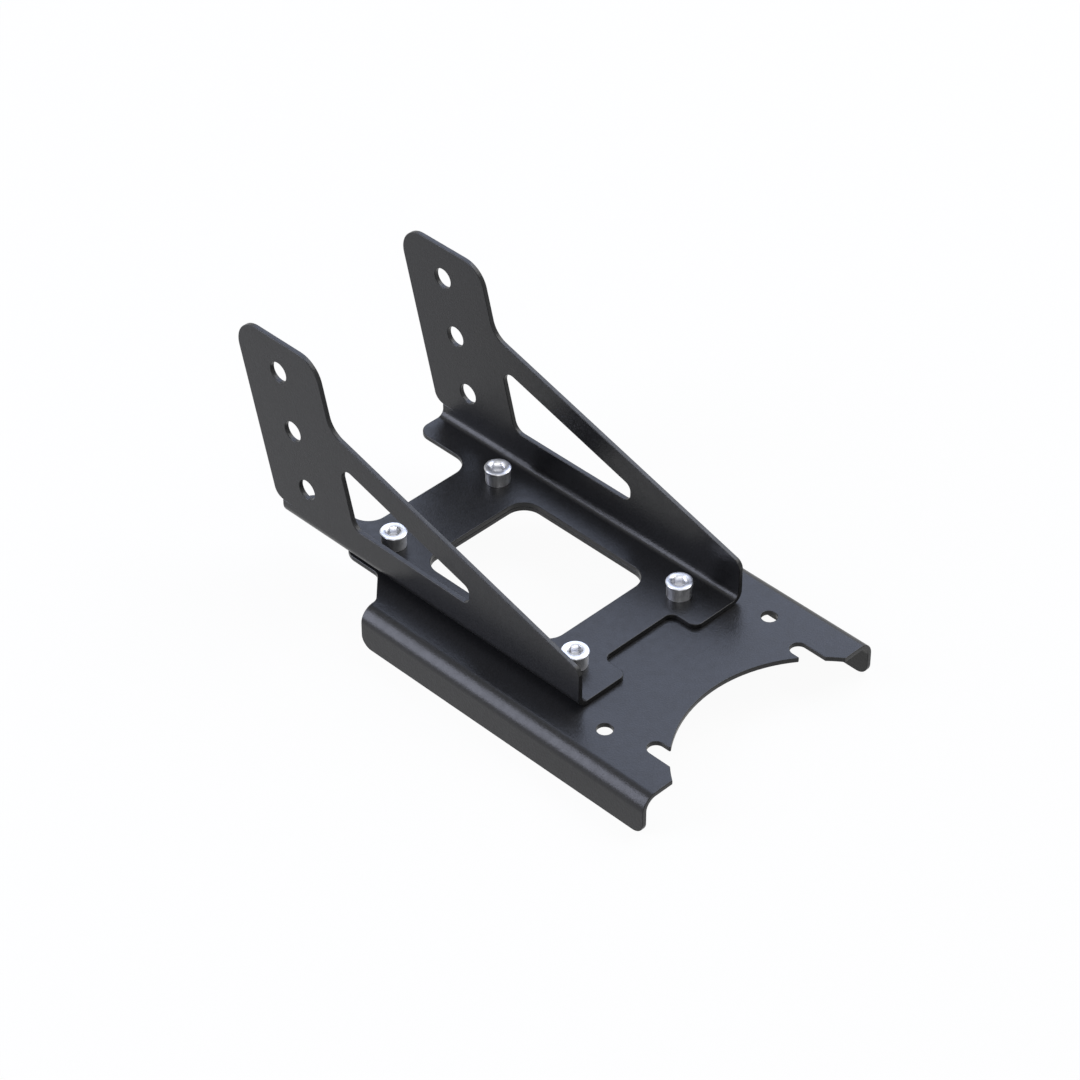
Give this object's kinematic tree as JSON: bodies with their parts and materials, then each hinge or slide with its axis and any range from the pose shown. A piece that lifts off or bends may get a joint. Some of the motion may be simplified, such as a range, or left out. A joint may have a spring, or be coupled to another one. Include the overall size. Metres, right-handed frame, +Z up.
{
  "type": "desk mount adapter",
  "caption": "Folded steel base with side flanges, carrying a bolted U bracket whose two leaning side plates hold a rig by rows of pivot holes.",
  "frame": {"origin": "under the middle of the screw pattern and window, on the plane that the two flanges rest on", "axes": "+Z up, +Y to the back where the uprights lean, +X to the right seen from the front"},
  "size_m": [0.121, 0.2267, 0.0993],
  "materials": {
    "powder_coat_black": "satin black powder coat",
    "zinc_bright": "bright zinc plating",
    "zinc_plain": "plain zinc plating"
  },
  "bodies": {
    "root": {"base_plate": "powder_coat_black", "upper_bracket": "powder_coat_black", "screw_front_left": "zinc_bright", "screw_front_right": "zinc_bright", "screw_rear_left": "zinc_bright", "screw_rear_right": "zinc_bright", "washer_front_left": "zinc_plain", "washer_front_right": "zinc_plain", "washer_rear_left": "zinc_plain", "washer_rear_right": "zinc_plain", "nut_front_left": "zinc_plain", "nut_front_right": "zinc_plain", "nut_rear_left": "zinc_plain", "nut_rear_right": "zinc_plain"}
  },
  "joints": []
}
